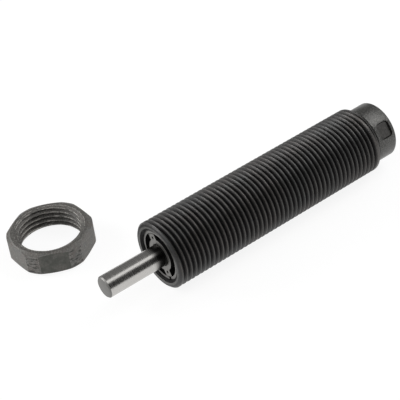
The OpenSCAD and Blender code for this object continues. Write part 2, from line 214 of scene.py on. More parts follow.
def turned(
    name: str,
    outline: Sequence[Pair],
    section: Section,
    axis: Axis = Axis.CYLINDER,
    segments: int = 96,
    phase: float = 0.0,
) -> Piece:
    """Turns a closed piece: a circle is extruded and scaled from station to station.

    Args:
        name: The piece's name.
        outline: The section's corners, as radius and station along the axis.
        section: SOLID if the first and last rings are closed by discs, or RING if the
            outline runs round and meets its own start.
        axis: The axis to turn about.
        segments: The number of sides of the circle.
        phase: The turn of the circle about its axis, in degrees.

    Returns:
        The new piece, at the origin.
    """
    select_only()
    radius, station = outline[0]
    bpy.ops.mesh.primitive_circle_add(
        vertices=segments,
        radius=radius * MM,
        fill_type="NGON" if section is Section.SOLID else "NOTHING",
        location=axis.along(station),
        rotation=axis.lay(),
    )
    piece = bpy.context.object
    piece.name = piece.data.name = name
    settle(piece)
    if phase:
        piece.data.transform(Matrix.Rotation(math.radians(phase), 4, axis.value))
    start_edit()
    run = list(outline[1:]) + ([outline[0]] if section is Section.RING else [])
    for next_radius, next_station in run:
        bpy.ops.mesh.extrude_region_move(
            TRANSFORM_OT_translate={"value": axis.along(next_station - station)}
        )
        bpy.ops.transform.resize(
            value=axis.spread(next_radius / radius), center_override=axis.along(next_station)
        )
        radius, station = next_radius, next_station
    bpy.ops.mesh.select_all(action="SELECT")
    bpy.ops.mesh.remove_doubles(threshold=0.0005 * MM)
    end_edit()
    return piece


def plate(
    name: str,
    corners: Sequence[Pair],
    start: float,
    thickness: float,
    axis: Axis = Axis.CYLINDER,
) -> Piece:
    """Cuts a plate to a drawn shape: a filled circle takes the corners' places and is extruded.

    Args:
        name: The piece's name.
        corners: The shape's corners in the plane square to the axis, in order.
        start: The station of the plate's first face.
        thickness: The plate's thickness along the axis.
        axis: The axis that the plate is square to.

    Returns:
        The new piece, at the origin.
    """
    select_only()
    bpy.ops.mesh.primitive_circle_add(vertices=len(corners), radius=MM, fill_type="NGON")
    piece = bpy.context.object
    piece.name = piece.data.name = name
    for vertex, (across, up) in zip(piece.data.vertices, corners):
        flat = (start, across, up) if axis is Axis.CYLINDER else (across, up, start)
        vertex.co = Vector(flat) * MM
    start_edit()
    bpy.ops.mesh.extrude_region_move(TRANSFORM_OT_translate={"value": axis.along(thickness)})
    end_edit()
    return piece


def join_volumes(piece: Piece, tool: Piece, joining: Joining = Joining.CUT) -> None:
    """Works on a piece with another closed piece, which is used up.

    Args:
        piece: The piece that stays.
        tool: The closed piece that cuts it or bounds it.
        joining: Whether the tool's volume is cut away or kept.
    """
    apply_modifier(piece, "BOOLEAN", object=tool, operation=joining.value, solver="MANIFOLD")
    bpy.data.objects.remove(tool)


def ease_edges(piece: Piece, width: float, angle: float) -> None:
    """Rounds a piece's sharp edges a little, as tumbling or plating leaves them.

    Args:
        piece: The piece.
        width: The width of the rounding.
        angle: The least angle between two faces, in degrees, that is rounded.
    """
    apply_modifier(
        piece,
        "BEVEL",
        width=width * MM,
        segments=2,
        limit_method="ANGLE",
        angle_limit=math.radians(angle),
        use_clamp_overlap=True,
    )


def smooth(piece: Piece, angle: float = 30.0) -> None:
    """Shades a piece smooth except where its faces meet at more than the angle in degrees."""
    select_only(piece)
    bpy.ops.object.shade_smooth_by_angle(angle=math.radians(angle))


def arc(
    radius: float, first: float, last: float, steps: int, middle: Pair = (0.0, 0.0)
) -> List[Pair]:
    """Lists points on an arc.

    Args:
        radius: The arc's radius.
        first: The angle of its first point, in degrees.
        last: The angle of its last point, in degrees.
        steps: The number of steps between them.
        middle: The arc's centre.

    Returns:
        The points in order.
    """
    angles = [math.radians(first + (last - first) * i / steps) for i in range(steps + 1)]
    return [(middle[0] + radius * math.cos(a), middle[1] + radius * math.sin(a)) for a in angles]


def swept(
    name: str, section: Sequence[Pair], axis: Axis, pitch: float, turns: int, steps: int = 96
) -> Piece:
    """Sweeps a section along a right-handed helix with a Screw modifier and closes both ends.

    Args:
        name: The piece's name.
        section: The section's corners, as radius and distance along the axis.
        axis: The helix's axis.
        pitch: The distance between two turns.
        turns: The number of turns.
        steps: The steps of one turn.

    Returns:
        The closed piece, at the origin.
    """
    select_only()
    bpy.ops.mesh.primitive_circle_add(vertices=len(section), radius=MM, fill_type="NOTHING")
    piece = bpy.context.object
    piece.name = name
    for vertex, (radius, along) in zip(piece.data.vertices, section):
        vertex.co = axis.place(radius, along)
    apply_modifier(
        piece,
        "SCREW",
        axis=axis.value,
        angle=2 * math.pi,
        screw_offset=pitch * MM,
        iterations=turns,
        steps=steps,
        render_steps=steps,
    )
    start_edit()
    bpy.ops.mesh.fill_holes(sides=0)
    end_edit()
    return piece


def turn_count(at: Vector, pitch: float, start: float = 0.0) -> float:
    """Tells how far along a helix round X a point lies.

    Args:
        at: The point, in metres.
        pitch: The helix's pitch.
        start: The station where the helix starts.

    Returns:
        The number of turns from the start.
    """
    angle = math.atan2(at.z, at.y) / (2 * math.pi) % 1.0
    return angle + round((at.x / MM - start) / pitch - angle)


@dataclass
class ScrewGroove:
    """The groove of a right-handed metric thread: its section, and the piece that cuts it."""

    major_r: float
    depth: float
    pitch: float
    crest_w: float = 0.3
    crest_ease: float = 0.1
    proud: float = 0.1

    def outline(self) -> List[Pair]:
        """Draws the groove's section.

        Returns:
            Its corners, as radius and distance from its middle.
        """
        half = (self.pitch - self.crest_w) / 2
        floor_half = half - self.depth * TAN_30
        eased = half - self.crest_ease * TAN_30
        floor_r = self.major_r - self.depth
        side: List[Pair] = [
            (floor_r, 0.45 * floor_half),
            (floor_r + 0.04, 0.95 * floor_half),
            (floor_r + 0.16, floor_half + 0.16 * TAN_30),
            (self.major_r - 0.5 * self.depth, half - 0.5 * self.depth * TAN_30),
            (self.major_r - self.crest_ease, eased),
            (self.major_r, eased + self.crest_ease),
            (self.major_r + self.proud, eased + self.crest_ease + 0.3 * self.proud),
        ]
        return [(r, -x) for r, x in reversed(side)] + side

    def cutter(self, name: str, start: float, turns: int) -> Piece:
        """Sweeps the groove round the cylinder.

        Args:
            name: The cutter's name.
            start: The station of the groove's middle where the cutter starts.
            turns: The number of turns.

        Returns:
            The closed groove.
        """
        section = [(radius, start + along) for radius, along in self.outline()]
        return swept(name, section, Axis.CYLINDER, self.pitch, turns)


# --- Finishes --------------------------------------------------------------------------------


def linear(code: str) -> Tuple[float, float, float, float]:
    """Turns an sRGB hex colour into the linear colour that a shader takes.

    Args:
        code: The colour as six hex digits after a hash sign.

    Returns:
        Red, green, blue and an alpha of 1.
    """
    channels = [int(code[i : i + 2], 16) / 255 for i in (1, 3, 5)]
    red, green, blue = (
        c / 12.92 if c <= 0.04045 else ((c + 0.055) / 1.055) ** 2.4 for c in channels
    )
    return red, green, blue, 1.0


def add_node(
    tree: bpy.types.NodeTree,
    kind: str,
    inputs: Optional[Mapping[Union[str, int], Value]] = None,
    output: Union[str, int] = 0,
    **settings: object,
) -> Optional[Socket]:
    """Adds a node with its settings and links.

    Args:
        tree: The node tree to add to.
        kind: Blender's identifier of the node's type, without "ShaderNode".
        inputs: What each input socket, by name or number, is linked to or set to.
        output: The output socket that is wanted.
        settings: The node's own properties.

    Returns:
        The wanted output socket, or None if the node has no outputs.
    """
    node = tree.nodes.new("ShaderNode" + kind)
    for name, setting in settings.items():
        setattr(node, name, setting)
    for key, value in (inputs or {}).items():
        if isinstance(value, bpy.types.NodeSocket):
            tree.links.new(value, node.inputs[key])
        else:
            node.inputs[key].default_value = value
    return node.outputs[output] if node.outputs else None


@dataclass(frozen=True)
class Finish:
    """What every finish shares: its name, its metal share, and one principled shader."""

    name: str
    metallic: float = 1.0

    def draw(self, add: AddNode, place: Socket) -> Dict[str, Value]:
        """Draws the finish.

        Args:
            add: Adds a node to the material's tree.
            place: The object coordinates.

        Returns:
            What the shader's inputs get, by name.
        """
        raise NotImplementedError

    def tones(self, *names: str) -> Dict[str, Value]:
        """Returns the finish's own colours of these names, as a shader takes them."""
        return {name: linear(getattr(self, name)) for name in names}

    def build(self) -> bpy.types.Material:
        """Builds the material round its shader.

        Returns:
            The finished material.
        """
        material = bpy.data.materials.new(self.name)
        material.use_nodes = True
        material.node_tree.nodes.clear()
        add = partial(add_node, material.node_tree)
        drawn = self.draw(add, add("TexCoord", output="Object"))
        shader = add("BsdfPrincipled", {"Metallic": self.metallic, **drawn})
        add("OutputMaterial", {"Surface": shader})
        return material


@dataclass(frozen=True)
class BlackOxideSteel(Finish):
    """Black oxide on a turned and rolled steel tube.

    The coat is dark and satin. It is rubbed down on the thread's crests, which show as grey
    lines, and the grooves get a darker painted shade. The neck is grey with a fine speckle. Its
    milled floors have a darker, browner tone, which also paints shade into the relief groove.
    """

    name: str = "black_oxide_steel"
    metallic: float = 0.55
    coat: str = "#363636"
    warm_coat: str = "#393736"
    # Painted shade in the thread's grooves.
    groove: str = "#222222"
    crest: str = "#535351"
    warm_crest: str = "#5c5855"
    neck: str = "#424240"
    neck_light: str = "#686765"
    # A darker, browner tone for milled floors, which also paints shade into the relief groove.
    milled: str = "#3a3836"
    root_mm: float = 11.3
    neck_mm: float = 10.6
    crest_mm: float = 12.5
    patch_mm: float = 14.0
    # Blasting grit is 0.1 to 0.2 mm. Its marks are drawn coarser, so that they show.
    grit_mm: float = 0.5
    grit_depth_mm: float = 0.02

    def draw(self, add: AddNode, place: Socket) -> Dict[str, Value]:
        """Draws the coat, worn crests, dark grooves and the speckled neck.

        Args:
            add: Adds a node to the material's tree.
            place: The object coordinates.

        Returns:
            What the shader's inputs get, by name.
        """
        parts = add("SeparateXYZ", {"Vector": place}).node.outputs
        across = add("CombineXYZ", {"Y": parts["Y"], "Z": parts["Z"]})
        value = {"radius": add("VectorMath", {0: across}, "Value", operation="LENGTH")}
        for name, size, rough in (("patches", self.patch_mm, 0.6), ("grit", self.grit_mm, 0.65)):
            noise = {"Scale": 1 / (size * MM), "Detail": 3.0, "Roughness": rough}
            value[name] = add("TexNoise", {"Vector": place, **noise}, "Fac")
        # The share of each look, from where a value lies between two ends. Radii are in
        # millimetres here.
        neck, crest = self.neck_mm, self.crest_mm
        for name, source, kind, *limits in (
            ("warm", "patches", "LINEAR", 0.42, 0.6, 0.0, 1.0),
            # open: the share outside the grooves' painted shade, from the root to near the crest.
            ("open", "radius", SOFT, self.root_mm, crest - 0.25, 0.0, 1.0),
            ("speckle", "grit", "LINEAR", 0.46, 0.64, 0.0, 1.0),
            # sunk: the milled floors' browner tone, and painted shade in the relief groove.
            ("sunk", "radius", "LINEAR", neck - 0.05, neck - 0.15, 0.0, 0.55),
            ("top", "radius", SOFT, crest - 0.14, crest - 0.01, 0.0, 1.0),
            ("uneven", "grit", "LINEAR", 0.3, 0.7, 0.25, 0.95),
            ("rough", "grit", "LINEAR", 0.3, 0.7, 0.32, 0.5),
        ):
            unit = MM if source == "radius" else 1.0
            ends = dict(zip(RANGE_ENDS, (limits[0] * unit, limits[1] * unit, *limits[2:])))
            shown = {"Value": value[source], **ends}
            value[name] = add("MapRange", shown, interpolation_type=kind)
        # Behind the thread the neck has a smaller radius than a groove's floor, so the
        # grooves' painted shade stops there.
        neck_edge = (self.root_mm - 0.2) * MM
        value["on_neck"] = add("Math", {0: value["radius"], 1: neck_edge}, operation="LESS_THAN")
        value["lit"] = add("Math", {0: value["open"], 1: value["on_neck"]}, operation="MAXIMUM")
        value["worn"] = add("Math", {0: value["top"], 1: value["uneven"]}, operation="MULTIPLY")
        tone = self.tones(
            "coat", "warm_coat", "groove", "neck", "neck_light", "milled", "crest", "warm_crest"
        )
        for name, part, base, over in (
            ("tint", "warm", "coat", "warm_coat"),
            # shaded: the coat with the grooves' painted shade.
            ("shaded", "lit", "groove", "tint"),
            ("blasted", "speckle", "neck", "neck_light"),
            ("cut", "sunk", "blasted", "milled"),
            ("covered", "on_neck", "shaded", "cut"),
            ("rubbed", "warm", "crest", "warm_crest"),
            ("all", "worn", "covered", "rubbed"),
        ):
            tone[name] = add("Mix", {0: value[part], 6: tone[base], 7: tone[over]}, **COLOURS)
        relief = {"Strength": 0.35, "Distance": self.grit_depth_mm * MM, "Height": value["grit"]}
        return {
            "Base Color": tone["all"],
            "Roughness": value["rough"],
            "Normal": add("Bump", relief),
        }


@dataclass(frozen=True)
class GroundChrome(Finish):
    """Hard chrome on a ground rod.

    Bright and nearly a mirror round its side, with the wheel's fine lines running round it.
    The sawn end is only turned, so it is a duller grey.
    """

    name: str = "ground_hard_chrome"
    side: str = "#bdbbb8"
    end: str = "#7d7c7a"
    # Painted dark reflection next to the cap.
    dark_reflection: str = "#3b3a39"
    end_x_mm: float = -23.2
    chamfer_mm: float = 0.5
    dark_reflection_from_mm: float = -5.4
    dark_reflection_to_mm: float = -2.2
    # The wheel's lines are a few hundredths of a millimetre apart, and are drawn coarser.
    line_mm: float = 0.35
    line_depth_mm: float = 0.004
    end_roughness: float = 0.5

    def draw(self, add: AddNode, place: Socket) -> Dict[str, Value]:
        """Draws the bright side with its painted dark reflection next to the cap, and the duller
        end.

        Args:
            add: Adds a node to the material's tree.
            place: The object coordinates.

        Returns:
            What the shader's inputs get, by name.
        """
        stretched = add("Mapping", {"Vector": place, "Scale": (1.0, 0.03, 0.03)})
        noise = {"Vector": stretched, "Scale": 1 / (self.line_mm * MM), "Detail": 4.0}
        lines = add("TexNoise", noise, "Fac")
        station = add("SeparateXYZ", {"Vector": place}, "X")
        edge = (self.end_x_mm + self.chamfer_mm) * MM
        on_end = add("Math", {0: station, 1: edge}, operation="LESS_THAN")
        # Painted dark reflection: next to the cap the side darkens, as the body hides the lamps.
        ends = {"From Min": self.dark_reflection_from_mm * MM, "From Max": self.dark_reflection_to_mm * MM}
        dark_reflection_share = add("MapRange", {"Value": station, **ends}, interpolation_type=SOFT)
        side = add("Mix", {0: dark_reflection_share, 6: linear(self.side), 7: linear(self.dark_reflection)}, **COLOURS)
        limits = dict(zip(RANGE_ENDS, (0.3, 0.7, 0.22, 0.31)))
        fine = add("MapRange", {"Value": lines, **limits})
        relief = {"Strength": 0.12, "Distance": self.line_depth_mm * MM, "Height": lines}
        return {
            "Base Color": add("Mix", {0: on_end, 6: side, 7: linear(self.end)}, **COLOURS),
            "Roughness": add("Mix", {0: on_end, 2: fine, 3: self.end_roughness}),
            "Normal": add("Bump", relief),
        }


@dataclass(frozen=True)
class PhosphatedSteel(Finish):
    """Manganese phosphate on a hot-forged nut.

    A crystalline grey coat that is rough and speckled. It gets painted shade in the bore and
    on the one flat that faces the front, and is rubbed light along the edges and scuffed dark
    on the turned corners.
    """

    name: str = "phosphated_steel"
    metallic: float = 0.35
    coat: str = "#5d5d5a"
    brown: str = "#635e5a"
    # Painted shade: the bore tone and the flat tone.
    bore: str = "#474441"
    flat: str = "#4a4b46"
    dark: str = "#2c2b2a"
    light: str = "#92918d"
    bare: str = "#c4c2bc"
    # The way that the flat with painted shade faces.
    shaded_flat_way: Triple = (-0.47, -0.88, 0.0)
    flat_mm: float = 14.45
    corner_mm: float = 15.47
    rub_mm: float = 3.8
    blotch_mm: float = 3.5
    # The coat's crystals are about 0.02 mm. Their clusters are drawn, and coarser.
    crystal_mm: float = 0.55
    scuff_mm: float = 2.4
    scuff_stretch: float = 3.2
    crystal_depth_mm: float = 0.05
    edge_mm: float = 0.3

    def draw(self, add: AddNode, place: Socket) -> Dict[str, Value]:
        """Draws the mottled coat, the painted shade, the scuffed corners and the rubbed edges.

        Args:
            add: Adds a node to the material's tree.
            place: The object coordinates.

        Returns:
            What the shader's inputs get, by name.
        """
        low, high = corner_mm("lock_nut")
        centred = add("Mapping", {"Vector": place, "Location": tuple((low + high) / -2 * MM)})
        parts = add("SeparateXYZ", {"Vector": centred}).node.outputs
        across = add("CombineXYZ", {"X": parts["X"], "Y": parts["Y"]})
        normal = add("NewGeometry", output="Normal")
        # The rounded normal differs from the real one only near an edge, which is where the
        # coat rubs off.
        rounded = add("Bevel", {"Radius": self.edge_mm * MM}, samples=6)
        value = {
            "radius": add("VectorMath", {0: across}, "Value", operation="LENGTH"),
            "height": add("Math", {0: parts["Z"]}, operation="ABSOLUTE"),
            "lean": add("VectorMath", {0: normal, 1: self.shaded_flat_way}, "Value", operation=DOT),
            "match": add("VectorMath", {0: rounded, 1: normal}, "Value", operation=DOT),
        }
        for name, size, stretch in (
            ("blotches", self.blotch_mm, 1.0),
            ("crystals", self.crystal_mm, 1.0),
            ("scuffs", self.scuff_mm, self.scuff_stretch),
        ):
            spread = add("Mapping", {"Vector": place, "Scale": (1.0, 1.0, stretch)})
            noise = {"Scale": 1 / (size * MM), "Detail": 3.0, "Roughness": 0.65}
            value[name] = add("TexNoise", {"Vector": spread, **noise}, "Fac")
        # The share of each look, from where a value lies between two ends. Radii and heights
        # are in millimetres here.
        for name, source, first, last, top in (
            # Painted shade in the bore.
            ("bore_shade", "radius", 14.3, 13.7, 0.5),
            ("on_flat", "radius", self.flat_mm - 0.14, self.flat_mm - 0.04, 1.0),
            ("on_corner", "radius", self.corner_mm - 0.14, self.corner_mm - 0.05, 1.0),
            ("outside", "radius", 14.0, 14.2, 1.0),
            ("mouth", "radius", 13.2, 13.0, 1.0),
            ("upright", "height", self.rub_mm, self.rub_mm - 0.3, 1.0),
            # Painted shade on the one flat that faces the front.
            ("in_painted_shade", "lean", 0.93, 0.97, 1.0),
            ("edge", "match", 0.996, 0.983, 1.0),
            ("browned", "blotches", 0.4, 0.62, 1.0),
            ("cleaner", "blotches", 0.42, 0.62, 0.45),
            ("patched", "blotches", 0.46, 0.54, 1.0),
            ("speckle", "crystals", 0.45, 0.72, 0.75),
            ("grazed", "crystals", 0.3, 0.55, 1.0),
            ("scuffed", "scuffs", 0.47, 0.42, 0.85),
        ):
            unit = MM if source in ("radius", "height") else 1.0
            ends = {"From Min": first * unit, "From Max": last * unit, "To Max": top}
            value[name] = add("MapRange", {"Value": value[source], **ends})
        for name, first, second, operation in (
            ("scuffed", "on_corner", "scuffed", "MULTIPLY"),
            ("upright", "upright", "outside", "MULTIPLY"),
            ("mouth", "mouth", "patched", "MULTIPLY"),
            ("rubbed", "upright", "mouth", "MAXIMUM"),
            ("rubbed", "edge", "rubbed", "MULTIPLY"),
            ("rubbed", "rubbed", "grazed", "MULTIPLY"),
        ):
            factors = {0: value[first], 1: value[second]}
            value[name] = add("Math", factors, operation=operation)
        tone = self.tones("coat", "brown", "bore", "flat", "dark", "light", "bare")
        for name, part, base, over in (
            ("mottled", "browned", "coat", "brown"),
            ("mottled", "bore_shade", "mottled", "bore"),
            ("speckled", "speckle", "mottled", "light"),
            # The flat tone is painted shade, and goes only on the flat that faces the front.
            ("milled", "cleaner", "flat", "speckled"),
            ("milled", "in_painted_shade", "speckled", "milled"),
            ("sides", "on_flat", "speckled", "milled"),
            ("sides", "on_corner", "sides", "speckled"),
            ("sides", "scuffed", "sides", "dark"),
            ("all", "rubbed", "sides", "bare"),
        ):
            tone[name] = add("Mix", {0: value[part], 6: tone[base], 7: tone[over]}, **COLOURS)
        crystals = value["crystals"]
        limits = dict(zip(RANGE_ENDS, (0.3, 0.7, 0.48, 0.7)))
        relief = {"Strength": 0.7, "Distance": self.crystal_depth_mm * MM, "Height": crystals}
        return {
            "Base Color": tone["all"],
            "Roughness": add("MapRange", {"Value": crystals, **limits}),
            "Normal": add("Bump", relief),
        }


@dataclass(frozen=True)
class WorkedMaterial(Finish):
    """A machined, sprung or moulded material with a fine grain in two close shades.

    The grain is stretched along the tool's path: round the cylinder for turned metal, and
    not at all for what is moulded.
    """

    light: str = "#8e8e8c"
    dark: str = "#777775"
    roughness: float = 0.4
    # A fine turning feed is about 0.1 mm, and is drawn coarser, so that it shows.
    grain_mm: float = 0.4
    grain_depth_mm: float = 0.006
    stretch: float = 0.08

    def draw(self, add: AddNode, place: Socket) -> Dict[str, Value]:
        """Draws the grain in two shades.

        Args:
            add: Adds a node to the material's tree.
            place: The object coordinates.

        Returns:
            What the shader's inputs get, by name.
        """
        stretched = add("Mapping", {"Vector": place, "Scale": (1.0, self.stretch, self.stretch)})
        noise = {"Scale": 1 / (self.grain_mm * MM), "Detail": 4.0, "Roughness": 0.6}
        grain = add("TexNoise", {"Vector": stretched, **noise}, "Fac")
        ends = (0.3, 0.7, self.roughness - 0.06, self.roughness + 0.06)
        shades = {0: grain, 6: linear(self.dark), 7: linear(self.light)}
        relief = {"Strength": 0.4, "Distance": self.grain_depth_mm * MM, "Height": grain}
        return {
            "Base Color": add("Mix", shades, **COLOURS),
            "Roughness": add("MapRange", {"Value": grain, **dict(zip(RANGE_ENDS, ends))}),
            "Normal": add("Bump", relief),
        }


@dataclass(frozen=True)
class RecessShade(Finish):
    """Painted shade for recesses where little light gets in: near black and dull, in patches."""

    name: str = "painted_recess_shade"
    metallic: float = 0.0
    paler_shade: str = "#141414"
    deeper_shade: str = "#0a0a0a"
    shade_patch_mm: float = 1.5

    def draw(self, add: AddNode, place: Socket) -> Dict[str, Value]:
        """Draws the painted shade's paler and deeper patches.

        Args:
            add: Adds a node to the material's tree.
            place: The object coordinates.

        Returns:
            What the shader's inputs get, by name.
        """
        noise = {"Vector": place, "Scale": 1 / (self.shade_patch_mm * MM), "Detail": 2.0}
        shade_patches = add("TexNoise", noise, "Fac")
        shades = {0: shade_patches, 6: linear(self.paler_shade), 7: linear(self.deeper_shade)}
        return {
            "Base Color": add("Mix", shades, **COLOURS),
            "Roughness": add("MapRange", {"Value": shade_patches, "To Min": 0.45, "To Max": 0.8}),
            "Specular IOR Level": 0.12,
        }


class Stock(Enum):
    """The finishes that the object's pieces are made in, each built once."""

    BLACK_OXIDE = BlackOxideSteel()
    CHROME = GroundChrome()
    PHOSPHATE = PhosphatedSteel()
    # Oiled spring steel: smooth, grey and a little lighter than what it holds.
    SPRING_STEEL = WorkedMaterial("oiled_spring_steel", 0.9, "#757472", "#62615f", 0.36)
    # Satin turned steel: fine rings, grey without a mirror's shine.
    CAP_STEEL = WorkedMaterial("satin_turned_steel", 0.85, "#868582", "#6e6d6a", 0.42)
    # Painted shade, near black, for recesses in the closure and the tube.
    RECESS = RecessShade()
    # Free-cutting steel straight off the lathe: light grey with clear tool lines.
    LATHE_STEEL = WorkedMaterial("free_cutting_steel", 1.0, "#b4b3b0", "#9b9a97", 0.32)
    # Sintered bronze: dull gold, open-grained and soaked with oil.
    BRONZE = WorkedMaterial("sintered_bronze", 1.0, "#a8834c", "#8c6a3a", 0.45, 0.3, 0.01, 1.0)
    # Polyurethane seals: moulded, dark blue grey and satin.
    SEAL = WorkedMaterial("moulded_polyurethane", 0.0, "#2b3138", "#20252b", 0.45, 0.5, 0.004, 1.0)
    # Nitrile rubber: black and matt.
    NITRILE = WorkedMaterial("nitrile_rubber", 0.0, "#1d1d1d", "#151515", 0.6, 0.4, 0.005, 1.0)
    # Closed-cell foam of the same rubber: grey black, with open pores on its skin.
    FOAM = WorkedMaterial("closed_cell_foam", 0.0, "#3a3a3c", "#242426", 0.85, 0.7, 0.15, 1.0)
    # Turned plastic that slides well: milky white and waxy.
    WAXY_PLASTIC = WorkedMaterial("turned_white_plastic", 0.0, "#e4dfd0", "#d8d2c2", 0.4)

    def material(self) -> bpy.types.Material:
        """Returns the built material, made on its first use."""
        return bpy.data.materials.get(self.value.name) or self.value.build()


def dress(piece: Piece, stock: Stock) -> None:
    """Gives a piece one finish all over.

    Args:
        piece: The piece, or a CAD node whose mesh stays as it is.
        stock: The finish.
    """
    if not piece.material_slots:
        piece.data.materials.append(stock.material())
    for slot in piece.material_slots:
        slot.material = stock.material()


def paint_recess_shade(piece: Piece, in_shade: Callable[[Vector, Vector], bool]) -> None:
    """Gives some of a dressed piece's faces the painted shade of a recess.

    Args:
        piece: The piece.
        in_shade: Tells from a face's centre in millimetres and its normal whether it is shaded.
    """
    piece.data.materials.append(Stock.RECESS.material())
    for face in piece.data.polygons:
        if in_shade(face.center / MM, face.normal):
            face.material_index = 1


# --- Sub-assemblies --------------------------------------------------------------------------


def corner_mm(node: str) -> Tuple[Vector, Vector]:
    """Returns a CAD node's lowest and highest corners at rest, in millimetres."""
    low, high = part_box(node)
    return low / MM, high / MM


def mount(piece: Piece, body: str, node: str) -> None:
    """Puts a finished piece in a CAD node's place and reports it.

    Args:
        piece: The piece.
        body: The CAD body that it rides on.
        node: The CAD node that it stands for.
    """
    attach(piece, body)
    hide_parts(node)
    LOG.info("%s: %d faces, rides on %s", piece.name, len(piece.data.polygons), body)


@dataclass
class ThreadedBody:
    """The outer tube: full-length thread, neck with two spanner flats, and the bore."""

    chamfer: float = 0.7
    edge: float = 0.06
    shoulder_chamfer: float = 1.3
    relief_w: float = 0.6
    relief_depth: float = 0.35
    neck_r: float = 10.6
    thread_len: float = 90.1
    bore_r: float = 9.4
    mouth_r: float = 10.3
    mouth_depth: float = 0.55
    groove_r: float = 10.0
    ring_play: float = 0.05
    rear_chamfer: float = 0.5
    fill_hole_r: float = 2.55
    fill_sink: float = 0.3
    cone_setback: float = 0.38
    oil_hole_r: float = 1.0
    flats_af: float = 19.54
    flat_len: float = 5.4
    flat_setback: float = 1.4
    flat_w: float = 6.2
    flat_corner_r: float = 1.4
    flat_turn: float = 34.0
    trench_w: float = 0.3
    trench_depth: float = 0.2
    thread: ScrewGroove = field(default_factory=lambda: ScrewGroove(12.5, 1.2, 1.93))
    groove_at: float = 0.285
    turns: int = 47
    lead_in: float = 0.2
    run_out: Pair = (46.2, 46.5)
    end_lift: float = 0.13

    def outline(self) -> List[Pair]:
        """Draws the tube's section before its thread and flats are cut.

        Returns:
            Its corners, as radius and station, round the wall.
        """
        low, high = corner_mm("outer_tube")
        ring_low, ring_high = corner_mm("retaining_ring")
        _, cavity = corner_mm("rear_plug")
        ball_low, ball_high = corner_mm("sealing_ball")
        front, rear, rim_r = low.x, high.x, high.z
        e = self.edge
        shoulder = self.thread_len + self.shoulder_chamfer
        neck = shoulder + self.relief_w
        relief_r = self.neck_r - self.relief_depth
        face_r = rim_r - self.chamfer
        rear_r = self.neck_r - self.rear_chamfer
        chamfered = rear - self.rear_chamfer
        groove_front, groove_rear = ring_low.x - self.ring_play, ring_high.x + self.ring_play
        cone = (ball_low.x + ball_high.x) / 2 - self.cone_setback
        return [
            (self.mouth_r, front + e),
            (self.mouth_r + e, front),
            (face_r - e, front),
            (face_r + 0.4 * e, front + 0.4 * e),
            (rim_r - 0.6 * e, -0.6 * e),
            (rim_r, e),
            (rim_r, self.thread_len - e),
            (rim_r - 0.6 * e, self.thread_len + 0.6 * e),
            (rim_r - self.shoulder_chamfer + 0.6 * e, shoulder - 0.6 * e),
            (rim_r - self.shoulder_chamfer - e, shoulder),
            (relief_r + e, shoulder),
            (relief_r, shoulder + e),
            (relief_r, neck - e),
            (relief_r + e, neck),
            (self.neck_r - 2 * e, neck),
            (self.neck_r, neck + 2 * e),
            (self.neck_r, chamfered - e),
            (self.neck_r - 0.6 * e, chamfered + 0.4 * e),
            (rear_r + 0.6 * e, rear - 0.4 * e),
            (rear_r - e, rear),
            (self.fill_hole_r + self.fill_sink, rear),
            (self.fill_hole_r, rear - self.fill_sink),
            (self.fill_hole_r, cone),
            (self.oil_hole_r, cone - (self.fill_hole_r - self.oil_hole_r)),
            (self.oil_hole_r, cavity.x),
            (self.bore_r, cavity.x),
            (self.bore_r, groove_rear),
            (self.groove_r, groove_rear),
            (self.groove_r, groove_front),
            (self.bore_r, groove_front),
            (self.bore_r, front + self.mouth_depth),
        ]

    def lift_ends(self, tool: Piece) -> None:
        """Raises both ends of the thread's cutter out of the metal, as a real thread runs out.

        Args:
            tool: The cutter, whose vertices are moved.
        """
        first, last = self.run_out
        for vertex in tool.data.vertices:
            turn = turn_count(vertex.co, self.thread.pitch, self.groove_at)
            share = max((self.lead_in - turn) / self.lead_in, (turn - first) / (last - first), 0.0)
            lift = 1.0 + self.end_lift * min(share, 1.0)
            vertex.co.y *= lift
            vertex.co.z *= lift

    def pocket(self, name: str, inset: float, floor: float, side: float) -> Piece:
        """Makes a plate with round corners over one spanner flat.

        Args:
            name: The plate's name.
            inset: How far its outline lies inside the flat's outline.
            floor: The distance of its lower face from the axis.
            side: The turn of the flat's outward direction from +Y towards +Z, in degrees.

        Returns:
            The plate, at the origin.
        """
        _, high = corner_mm("outer_tube")
        middle = high.x - self.flat_setback - self.flat_len / 2
        radius = self.flat_corner_r - inset
        along = self.flat_len / 2 - inset - radius
        across = self.flat_w / 2 - inset - radius
        corners = []
        for start, (sx, sy) in zip((0, 90, 180, 270), ((1, 1), (-1, 1), (-1, -1), (1, -1))):
            corners += arc(radius, start, start + 90, 6, (middle + sx * along, sy * across))
        tool = plate(name, corners, floor, self.neck_r, Axis.NUT)
        tool.data.transform(Matrix.Rotation(math.radians(side - 90), 4, "X"))
        return tool

    def in_painted_shade(self, at: Vector) -> bool:
        """Tells whether the tube gets painted shade at a point: in its bore and in the flats'
        trenches.

        Args:
            at: The point, in millimetres.

        Returns:
            True where it does.
        """
        if at.x < self.thread_len:
            return at.yz.length < self.mouth_r + 0.02
        turn = math.radians(self.flat_turn)
        out = abs(at.y * math.cos(turn) - at.z * math.sin(turn))
        across = abs(at.y * math.sin(turn) + at.z * math.cos(turn))
        half = self.flats_af / 2
        return across < self.flat_w / 2 and half - self.trench_depth - 0.05 < out < half - 0.01

